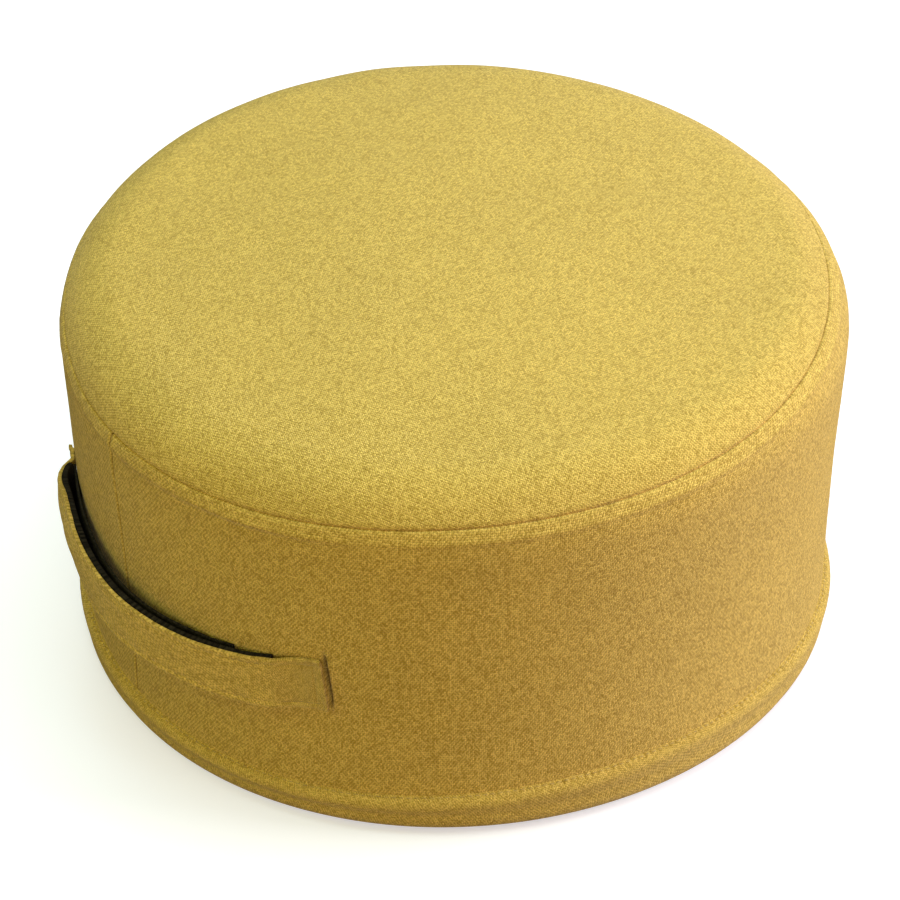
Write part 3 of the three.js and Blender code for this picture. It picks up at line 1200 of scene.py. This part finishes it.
@dataclass
class BaseCover:
    """The base panel with its edge turned up round the foot and stitched.

    DISC_REACH says between which radii of the flat disc each part of its outline lies.
    """

    outline: Outline
    stitches: int = 330
    columns_per_stitch: int = 6
    thickness: float = 0.002
    gap: float = 0.0003
    tuck: float = 0.0009
    proud: float = 0.0031
    ridge: float = 0.0014
    roll: float = 0.0095
    shoulder_drop: float = 0.0056
    stitch_share: float = 0.72
    dimple: Ridge = Ridge(0.0005, 0.72, 0.16)
    stitch_groove: Ridge = Ridge(0.0001, 0.72, 0.12)
    puff: Grain = Grain(0.0003, (60.0, 3.0, 0.0), (0.0, 0.0, 1.0))
    flat_width: float = 0.456
    rows: list[tuple[RimSection, float]] = field(default_factory=list)

    def build(self) -> Piece:
        """Makes the base panel and its turned-up rim.

        Returns:
            The object.
        """
        self.rows = [
            *((RimSection.UNDER, share) for share in spread(5, 0.0, 0.97)),
            *((RimSection.ROLL, share) for share in spread(6, 0.0, 1.0)),
            *((RimSection.WALL, share) for share in spread(9, 0.0, 1.0)[1:-1]),
            *((RimSection.TOP, share) for share in spread(14, 0.0, 1.0)),
            *((RimSection.INSIDE, share) for share in spread(6, 0.0, 1.0)[1:]),
            *((RimSection.UPPER, share) for share in (0.9, 0.5, 0.0)),
        ]
        turning = Turning(self.rows, self.stitches * self.columns_per_stitch)
        turning.lay(self._point)
        turning.unroll(self._cloth)
        return turning.finish("base_cover")

    def _wall_top(self, azimuth: float) -> float:
        """The level where the rim's rounded upper part begins."""
        return self.outline.rim(azimuth) - self.shoulder_drop

    def _point(self, section: RimSection, share: float, azimuth: float) -> Vector:
        """A point of the base cover.

        Args:
            section: the part of the outline.
            share: the row's place in that part.
            azimuth: in radians.

        Returns:
            The point.
        """
        foot = self.outline.foot(azimuth)
        outer = foot + self.proud
        if section is RimSection.UNDER:
            return around(azimuth, (outer - self.roll) * share, 0.0)
        if section is RimSection.ROLL:
            turn = math.pi / 2 * (1 - share)
            radius = outer - self.roll * (1 - math.cos(turn))
            return around(azimuth, radius, self.roll * (1 - math.sin(turn)))
        if section is RimSection.WALL:
            height = blend(self.roll, self._wall_top(azimuth), share)
            return around(azimuth, outer + self.ridge * ramp(share, 0.3, 1.0), height)
        if section is RimSection.TOP:
            return self._top_point(share, azimuth)
        if section is RimSection.INSIDE:
            return self._inside_point(share, azimuth)
        reach = foot - self.outline.foot_rounding
        return around(azimuth, reach * share, self.thickness)

    def _top_point(self, share: float, azimuth: float) -> Vector:
        """A point of the rim's rounded upper part, with its stitch dimples.

        Args:
            share: 0 at the wall and 1 at the inner edge.
            azimuth: in radians.

        Returns:
            The point.
        """
        turn = math.pi * 0.5 * share
        inner = self.outline.foot(azimuth) - self.tuck
        width = self.proud + self.ridge + self.tuck
        radius = inner + width * math.cos(turn)
        height = self._wall_top(azimuth) + self.shoulder_drop * math.sin(turn)
        phase = 0.5 + 0.5 * math.cos(azimuth * self.stitches)
        down = self.dimple.at(share) * phase**3 + self.stitch_groove.at(share)
        down -= self.puff.at(azimuth, share)
        return around(azimuth, radius - 0.5 * down, height - down)

    def _inside_point(self, share: float, azimuth: float) -> Vector:
        """A point of the rim's inner side, down and round to the panel's upper face.

        Args:
            share: 0 at the rim's top and 1 under the cushion.
            azimuth: in radians.

        Returns:
            The point.
        """
        foot = self.outline.foot(azimuth)
        centre = self.outline.foot_bottom + self.outline.foot_rounding
        if share < 0.5:
            height = blend(self.outline.rim(azimuth) - 0.002, centre, share * 2)
            return around(azimuth, foot + blend(-self.tuck, self.gap, share * 2), height)
        turn = math.pi * (share - 0.5)
        reach = self.outline.foot_rounding + self.gap
        radius = foot - self.outline.foot_rounding + reach * math.cos(turn)
        return around(azimuth, radius, centre - reach * math.sin(turn))

    def _cloth(self, corners: list[tuple[int, float]]) -> list[Vector]:
        """Where a face's corners lie on the flat disc.

        Args:
            corners: the row and azimuth of each corner.

        Returns:
            A place for each corner, in metres of cloth.
        """
        places = []
        for row, azimuth in corners:
            section, share = self.rows[row]
            places.append(around(azimuth, blend(*DISC_REACH[section], share), 0.0))
        return places

    def stitch_path(self) -> Iterator[Stitch]:
        """The middle, direction and outward side of each stitch of the rim.

        Returns:
            One stitch after another.
        """
        for number in range(self.stitches):
            azimuth = TURN * (number + 0.5) / self.stitches
            middle = self._top_point(self.stitch_share, azimuth)
            forward = Vector((-math.sin(azimuth), math.cos(azimuth), 0.0))
            outward = around(azimuth, 0.45, 0.9).normalized()
            yield middle, forward, outward

    def dress(self, piece: Piece) -> None:
        """Gives the cover its cloth, hangs it under the root and hides the CAD base panel.

        Args:
            piece: the cover.
        """
        piece.data.materials.append(RIM_YELLOW_PAINTED_LIGHT.material())
        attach(piece, "root")
        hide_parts("base_panel")


@dataclass(frozen=True)
class HandleRow:
    """Where the handle runs at one azimuth, in degrees and metres.

    top and low are how far the strap's outer face stands off the body at its edges,
    and height is the level of its upper edge.
    """

    azimuth: float
    top: float
    low: float
    height: float


STRAP_ROWS = (
    HandleRow(-123.8, 0.0023, 0.0023, 0.1100),
    HandleRow(-122.0, 0.0023, 0.0023, 0.1100),
    HandleRow(-120.4, 0.0026, 0.0026, 0.1100),
    HandleRow(-118.6, 0.0083, 0.0069, 0.1097),
    HandleRow(-116.6, 0.0124, 0.0078, 0.1090),
    HandleRow(-113.0, 0.0138, 0.0088, 0.1080),
    HandleRow(-107.0, 0.0144, 0.0110, 0.1055),
    HandleRow(-99.0, 0.0150, 0.0134, 0.1025),
    HandleRow(-90.0, 0.0150, 0.0132, 0.1005),
    HandleRow(-80.0, 0.0126, 0.0106, 0.1000),
    HandleRow(-71.0, 0.0088, 0.0076, 0.1013),
    HandleRow(-65.5, 0.0058, 0.0055, 0.1035),
    HandleRow(-62.4, 0.0026, 0.0026, 0.1055),
    HandleRow(-60.0, 0.0023, 0.0023, 0.1068),
    HandleRow(-57.5, 0.0023, 0.0023, 0.1080),
)
TAPE_ROWS = (
    HandleRow(-119.4, 0.0014, 0.0032, 0.1086),
    HandleRow(-117.2, 0.0015, 0.0031, 0.1081),
    HandleRow(-113.0, 0.0026, 0.0038, 0.1070),
    HandleRow(-108.0, 0.0039, 0.0053, 0.1049),
    HandleRow(-100.0, 0.0060, 0.0074, 0.1019),
    HandleRow(-93.0, 0.0075, 0.0076, 0.1001),
    HandleRow(-85.0, 0.0063, 0.0059, 0.0991),
    HandleRow(-76.5, 0.0034, 0.0034, 0.0992),
    HandleRow(-72.0, 0.0019, 0.0019, 0.1000),
)


@dataclass
class HandlePath:
    """The way of a strip along the side, seen from outside from left to right.

    curl and belly are how far its upper edge is drawn in and its middle stands out, most
    at bend_row and fading over bend_rows rows.
    """

    outline: Outline
    width: float
    rows: tuple[HandleRow, ...]
    steps: int = 48
    curl: float = 0.0
    belly: float = 0.0
    curl_start: float = 0.4
    bend_row: float = 5.2
    bend_rows: float = 1.5
    look_step: float = 0.02

    def __post_init__(self) -> None:
        """Lays smooth runs of points along the strap's two edges."""
        self.runs = {
            upper: self._run([self._edge(row, upper) for row in self.rows])
            for upper in (True, False)
        }

    def _edge(self, row: HandleRow, upper: bool) -> Vector:
        """A point of the strap's outer face at its upper or lower edge.

        Args:
            row: a row of the strip's table.
            upper: whether it is the upper edge.

        Returns:
            The point.
        """
        azimuth = math.radians(row.azimuth)
        level = row.height if upper else row.height - self.width
        off = row.top if upper else row.low
        return around(azimuth, self.outline.side_radius(azimuth, level) + off, level)

    def _run(self, knots: list[Vector]) -> list[Vector]:
        """A smooth run of points through the knots, the same number between each two.

        Args:
            knots: the points that it goes through.

        Returns:
            The points of the run.
        """
        last = len(knots) - 1
        points = []
        for number, (start, end) in enumerate(zip(knots, knots[1:])):
            span = (end - start).length / 3
            out = (end - knots[max(number - 1, 0)]).normalized() * span
            back = (knots[min(number + 2, last)] - start).normalized() * span
            points += interpolate_bezier(start, start + out, end - back, end, self.steps + 1)[:-1]
        return points + [knots[-1]]

    def _curve(self, place: float, upper: bool) -> Vector:
        """A point of one edge.

        Args:
            place: a row number with a fraction.
            upper: whether it is the upper edge.

        Returns:
            The point.
        """
        run = self.runs[upper]
        spot = min(max(place, 0.0), len(self.rows) - 1.0) * self.steps
        first = min(int(spot), len(run) - 2)
        return run[first].lerp(run[first + 1], spot - first)

    def at(self, place: float, across: float) -> tuple[Vector, Vector]:
        """A point of the strap's outer face.

        Args:
            place: a row number with a fraction.
            across: 0 at the lower edge and 1 at the upper one.

        Returns:
            The point, and the direction outward from the body.
        """
        low, top = self._curve(place, False), self._curve(place, True)
        ahead = min(place + self.look_step, len(self.rows) - 1.0)
        behind = max(place - self.look_step, 0.0)
        forward = self._curve(ahead, False).lerp(self._curve(ahead, True), across)
        forward -= self._curve(behind, False).lerp(self._curve(behind, True), across)
        outward = forward.cross(top - low).normalized()
        return low.lerp(top, across) + outward * self._bend(place, across), outward

    def _bend(self, place: float, across: float) -> float:
        """How far a point stands out from a flat section.

        Args:
            place: a row number with a fraction.
            across: 0 at the lower edge and 1 at the upper one.

        Returns:
            The distance in metres, outward positive.
        """
        near = bump(place - self.bend_row, self.bend_rows)
        upper = max(across - self.curl_start, 0.0) / (1.0 - self.curl_start)
        return near * (4.0 * self.belly * across * (1.0 - across) - self.curl * upper * upper)


@dataclass
class Strip:
    """A flat strip of cloth along the handle's way.

    depth is how far its outer face lies behind the way, first and last are its ends' row
    numbers, slant leans its right end, peak lifts the upper corner of its left one, and
    lift is its stitching's relief. The spans are shares of its length where the lean grows
    and the peak fades. sharp_angle, in radians, tells the edges to round.
    """

    name: str
    path: HandlePath
    width: float
    thickness: float
    depth: float
    first: float
    last: float
    length_faces: int = 236
    width_faces: int = 30
    edge_rounding: float = 0.0008
    slant: float = 0.0
    slant_span: tuple[float, float] = (0.9, 1.0)
    peak: float = 0.0
    peak_span: tuple[float, float] = (0.05, 0.2)
    lift: Callable[[float, float], float] | None = None
    sharp_angle: float = 1.2

    def build(self) -> Piece:
        """Bends a grid along the way and gives it its thickness.

        Returns:
            The object.
        """
        bm = bmesh.new()
        faces = {"x_segments": self.length_faces, "y_segments": self.width_faces}
        bmesh.ops.create_grid(bm, size=0.5, **faces)
        layer = bm.loops.layers.uv.new("Cloth")
        length = self.length()
        for face in bm.faces:
            for loop in face.loops:
                place = loop.vert.co
                loop[layer].uv = (place.x * length, place.y * self.width)
        for vertex in bm.verts:
            along, across = vertex.co.x + 0.5, vertex.co.y
            row = blend(self.first, self.last, along)
            row -= self.slant * (across + 0.5) * ramp(along, *self.slant_span)
            point, outward = self.path.at(row, 0.5 + across * self.width / self.path.width)
            raised = self.lift(along * length, (across + 0.5) * self.width) if self.lift else 0.0
            vertex.co = point + outward * (raised - self.depth)
            vertex.co.z += self.peak * (across + 0.5) * (1.0 - ramp(along, *self.peak_span))
        bm.normal_update()
        level = Vector((1, 1, 0))
        if sum(face.normal.dot(face.calc_center_median() * level) for face in bm.faces) < 0:
            bmesh.ops.reverse_faces(bm, faces=bm.faces[:])
        bmesh.ops.solidify(bm, geom=bm.faces[:], thickness=self.thickness)
        bmesh.ops.recalc_face_normals(bm, faces=bm.faces[:])
        rims = [edge for edge in bm.edges if edge.is_manifold]
        sharp = [edge for edge in rims if edge.calc_face_angle() > self.sharp_angle]
        bmesh.ops.bevel(
            bm,
            geom=sharp,
            offset=self.edge_rounding,
            affect="EDGES",
            segments=3,
            profile=0.5,
            material=-1,
            clamp_overlap=True,
        )
        return make_object(bm, self.name)

    def length(self) -> float:
        """The strip's length along its middle."""
        middles = [self.path.at(place, 0.5)[0] for place in spread(120, self.first, self.last)]
        return sum((b - a).length for a, b in zip(middles, middles[1:]))


@dataclass
class Handle:
    """The carrying handle: a cloth strap with webbing and a tape behind its free length.

    The strap's stitches lie in its furrows, sunk by a share of their depth. turned_lift and
    fold_lift are how far its turned-in ends and the fold at its right end stand out.
    """

    outline: Outline
    strap_width: float = 0.032
    strap_thickness: float = 0.0018
    webbing_width: float = 0.030
    webbing_thickness: float = 0.0030
    webbing_gap: float = 0.0005
    tape_width: float = 0.030
    tape_thickness: float = 0.0013
    stitch_pitch: float = 0.0038
    stitch_sink: float = 0.6
    stitch_look: float = 0.05
    furrow: Ridge = Ridge(-0.00045, 0.0036, 0.0009)
    end_furrow: Ridge = Ridge(-0.00045, 0.012, 0.0009)
    edge_roll: Ridge = Ridge(0.0003, 0.0018, 0.0013)
    turned_lift: float = 0.0004
    turned_span: tuple[float, float] = (0.006, 0.0125)
    fold_lift: float = 0.001
    fold_span: tuple[float, float] = (0.0032, 0.0044)
    grains: tuple[Grain, ...] = (
        Grain(0.0004, (60.0, 50.0, 0.0), (0.0, 0.0, 2.0)),
        Grain(0.00025, (160.0, 130.0, 0.0), (0.0, 0.0, 7.0)),
    )
    strap_curl: float = 0.0038
    strap_belly: float = 0.0014

    def __post_init__(self) -> None:
        """Sets out the three strips."""
        bend = {"curl": self.strap_curl, "belly": self.strap_belly}
        self.path = HandlePath(self.outline, self.strap_width, STRAP_ROWS, **bend)
        self.strap = Strip(
            "handle_cover",
            self.path,
            self.strap_width,
            self.strap_thickness,
            depth=0.0,
            first=0.0,
            last=float(len(self.path.rows) - 1),
            slant=0.36,
        )
        self.length = self.strap.length()
        self.strap.lift = self._strap_lift
        self.webbing = Strip(
            "handle_lining",
            self.path,
            self.webbing_width,
            self.webbing_thickness,
            depth=self.strap_thickness + self.webbing_gap,
            first=2.5,
            last=11.0,
            length_faces=180,
            width_faces=16,
            peak=0.0025,
        )
        self.tape = Strip(
            "handle_inner_tape",
            HandlePath(self.outline, self.tape_width, TAPE_ROWS),
            self.tape_width,
            self.tape_thickness,
            depth=0.0,
            first=0.0,
            last=float(len(TAPE_ROWS) - 1),
            length_faces=160,
            width_faces=16,
            edge_rounding=0.0003,
        )

    def _strap_lift(self, along: float, across: float) -> float:
        """How the stitching and the turned-in ends move the strap's outer face.

        Args:
            along: metres from the left end.
            across: metres from the lower edge.

        Returns:
            The outward push in metres.
        """
        from_edge = min(across, self.strap_width - across)
        from_end = min(along, self.length - along)
        push = self.furrow.at(from_edge) + self.edge_roll.at(from_edge)
        push += self.end_furrow.at(from_end)
        push += self.turned_lift * (1.0 - ramp(from_end, *self.turned_span))
        push += self.fold_lift * (1.0 - ramp(self.length - along, *self.fold_span))
        return push + sum(grain.at(along, across) for grain in self.grains)

    def stitch_path(self) -> Iterator[Stitch]:
        """The middle, direction and outward side of each stitch of the strap.

        Returns:
            One stitch after another.
        """
        last = float(len(self.path.rows) - 1)
        count = int(self.length / self.stitch_pitch)
        for edge in (self.furrow.place, self.strap_width - self.furrow.place):
            for number in range(count):
                along = (number + 0.5) / count
                yield self._stitch(along * last, edge / self.strap_width)

    def _stitch(self, place: float, across: float) -> Stitch:
        """One stitch on the strap's outer face.

        Args:
            place: a row number with a fraction.
            across: 0 at the lower edge and 1 at the upper one.

        Returns:
            Its middle, direction and outward side.
        """
        point, outward = self.path.at(place, across)
        ahead = self.path.at(min(place + self.stitch_look, len(self.path.rows) - 1.0), across)[0]
        behind = self.path.at(max(place - self.stitch_look, 0.0), across)[0]
        sunk = outward * self.furrow.size * self.stitch_sink
        return point + sunk, (ahead - behind).normalized(), outward

    def dress(self, strap: Piece, webbing: Piece, tape: Piece) -> None:
        """Gives the strips their cloth, hangs them under the root and hides their CAD parts.

        Args:
            strap: the cloth strap.
            webbing: the webbing behind it.
            tape: the tape behind the webbing.
        """
        strap.data.materials.append(STRAP_YELLOW.material())
        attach(strap, "root")
        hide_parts("handle_strap")
        black = BLACK_WEBBING.material()
        for piece, strip, node, carrier in (
            (webbing, self.webbing, "handle_webbing", "handle_cover"),
            (tape, self.tape, "handle_tape", "cushion_body"),
        ):
            piece.data.materials.append(black)
            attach(piece, "root")
            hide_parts(node)
            strip.length()


@dataclass
class StitchRow:
    """A row of short stitches, all alike, joined into one piece."""

    name: str
    slot: str
    length: float
    thickness: float
    sides: int = 6
    rings: int = 6

    def build(self, path: Iterator[Stitch]) -> Piece:
        """Lays a stitch at each place of the path.

        Args:
            path: the middle, direction and outward side of each stitch.

        Returns:
            One object with all the stitches.
        """
        bm = bmesh.new()
        for middle, forward, outward in path:
            side = outward.cross(forward).normalized()
            upward = forward.cross(side).normalized()
            turned = Matrix((side, upward, forward)).transposed().to_4x4()
            turned.translation = middle
            half = self.thickness / 2
            placed = turned @ Matrix.Diagonal((half, half, self.length / 2, 1.0))
            faces = {"u_segments": self.sides, "v_segments": self.rings}
            bmesh.ops.create_uvsphere(bm, radius=1.0, matrix=placed, **faces)
        return make_object(bm, self.name)

    def dress(self, piece: Piece, finish: bpy.types.Material) -> None:
        """Gives the stitches their thread.

        Args:
            piece: the stitches.
            finish: their thread.
        """
        piece.data.materials.append(finish)
        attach(piece, "root")


@dataclass(frozen=True)
class Lamp:
    """A square soft light: its place and size in metres and its power in watts."""

    name: str
    place: tuple[float, float, float]
    size: float
    power: float
    colour: tuple[float, float, float]


def stand(name: str, data: bpy.types.ID, place: Vector, target: Vector) -> Piece:
    """Puts a lamp or a camera at a place and turns it to a target.

    Args:
        name: the object's name.
        data: the lamp or the camera.
        place: where it stands.
        target: what it faces.

    Returns:
        The object that holds it.
    """
    holder = bpy.data.objects.new(name, data)
    bpy.context.scene.collection.objects.link(holder)
    holder.location = place
    holder.rotation_euler = (target - place).to_track_quat("-Z", "Y").to_euler()
    return holder


@dataclass
class Studio:
    """The pale floor, the soft lights and the camera.

    The camera sees the floor by floor_colour and floor_glow, and the surroundings white.
    The cushion is lit by floor_bounce, the air and the lamps.
    """

    lens: float = 143.77
    film_width: float = 36.0
    distance: float = 1.900174
    elevation: float = math.radians(37.057)
    azimuth: float = math.radians(-40.0)
    target: Vector = field(default_factory=lambda: Vector((-0.0010, -0.0012, 0.08986)))
    lit_middle: Vector = field(default_factory=lambda: Vector((0.0, 0.0, 0.1)))
    floor_half: float = 1.4
    floor_drop: float = 0.0002
    floor_colour: Colour = (0.66, 0.66, 0.66, 1.0)
    floor_bounce: Colour = (0.25, 0.2, 0.14, 1.0)
    floor_glow: Colour = (0.46, 0.455, 0.48, 1.0)
    floor_roughness: float = 0.95
    floor_gloss: float = 0.1
    air: Colour = (1.0, 0.235, 0.118, 1.0)
    air_strength: float = 0.215
    lamps: tuple[Lamp, ...] = (
        Lamp("top_light", (-0.25, 0.35, 2.1), 2.2, 56.0, (0.64, 0.893, 1.0)),
        Lamp("right_light", (1.2, 1.5, 0.8), 1.2, 55.4, (0.876, 0.892, 1.0)),
        Lamp("left_light", (-0.6, -1.6, 1.6), 1.4, 13.2, (0.635, 1.0, 0.175)),
        Lamp("front_light", (1.6, -1.4, 0.9), 1.2, 19.5, (1.0, 1.0, 0.749)),
    )

    def build(self) -> None:
        """Makes the floor, lights, surroundings and camera."""
        self._floor()
        self._surroundings()
        for lamp in self.lamps:
            self._light(lamp)
        self._camera()

    def _floor(self) -> None:
        """A plain pale floor, which sends less light back to the cushion than it shows."""
        bm = bmesh.new()
        bmesh.ops.create_grid(bm, x_segments=1, y_segments=1, size=self.floor_half)
        bmesh.ops.translate(bm, verts=bm.verts[:], vec=(0.0, 0.0, -self.floor_drop))
        floor = make_object(bm, "floor")
        material = bpy.data.materials.new("Pale floor")
        material.use_nodes = True
        sheet = NodeSheet(material.node_tree)
        shader = material.node_tree.nodes["Principled BSDF"]
        seen = sheet.add("ShaderNodeLightPath").outputs["Is Camera Ray"]
        colour = sheet.tint(seen, self.floor_bounce, self.floor_colour)
        sheet.feed(shader.inputs["Base Color"], colour)
        sheet.feed(shader.inputs["Emission Color"], sheet.tint(seen, BLACK, self.floor_glow))
        shader.inputs["Emission Strength"].default_value = 1.0
        shader.inputs["Roughness"].default_value = self.floor_roughness
        shader.inputs["Specular IOR Level"].default_value = self.floor_gloss
        floor.data.materials.append(material)

    def _surroundings(self) -> None:
        """Even pale light from all round, white behind the cushion."""
        world = bpy.data.worlds.new("Soft surroundings")
        world.use_nodes = True
        sheet = NodeSheet(world.node_tree)
        backdrop = world.node_tree.nodes["Background"]
        seen = sheet.add("ShaderNodeLightPath").outputs["Is Camera Ray"]
        sheet.feed(backdrop.inputs["Color"], sheet.tint(seen, self.air, WHITE))
        sheet.feed(backdrop.inputs["Strength"], sheet.choose(seen, self.air_strength, 1.0))
        bpy.context.scene.world = world
        bpy.context.scene.view_settings.view_transform = "Standard"
        bpy.context.scene.view_settings.look = "None"

    def _light(self, given: Lamp) -> None:
        """One square soft light that faces the cushion.

        Args:
            given: the lamp.
        """
        lamp = bpy.data.lights.new(given.name, "AREA")
        lamp.shape = "SQUARE"
        lamp.size = given.size
        lamp.energy = given.power
        lamp.color = given.colour
        stand(given.name, lamp, Vector(given.place), self.lit_middle)

    def _camera(self) -> None:
        """The camera at the photograph's angle."""
        data = bpy.data.cameras.new("camera")
        data.lens = self.lens
        data.sensor_width = self.film_width
        back = around(self.azimuth, math.cos(self.elevation), math.sin(self.elevation))
        place = self.target + back * self.distance
        bpy.context.scene.camera = stand("camera", data, place, self.target)


def report(piece: Piece) -> None:
    """Logs a finished piece."""
    LOG.info("%s: %d faces", piece.name, len(piece.data.polygons))


def main() -> None:
    """Builds the cushion piece by piece."""
    logging.basicConfig(level=logging.INFO, format="%(message)s")
    outline = Outline()
    Studio().build()
    cushion = Cushion(outline)
    body = cushion.build()
    cushion.dress(body)
    report(body)
    cover = BaseCover(outline)
    base = cover.build()
    cover.dress(base)
    report(base)
    handle = Handle(outline)
    strips = [strip.build() for strip in (handle.strap, handle.webbing, handle.tape)]
    handle.dress(*strips)
    for strip in strips:
        report(strip)
    thread = THREAD.material()
    for row, path in (
        (StitchRow("rim_stitches", "base_cloth", 0.0026, 0.00045), cover.stitch_path()),
        (StitchRow("strap_stitches", "strap_cloth", 0.0028, 0.0004), handle.stitch_path()),
    ):
        piece = row.build(path)
        row.dress(piece, thread)
        report(piece)


if __name__ == "__main__":
    main()
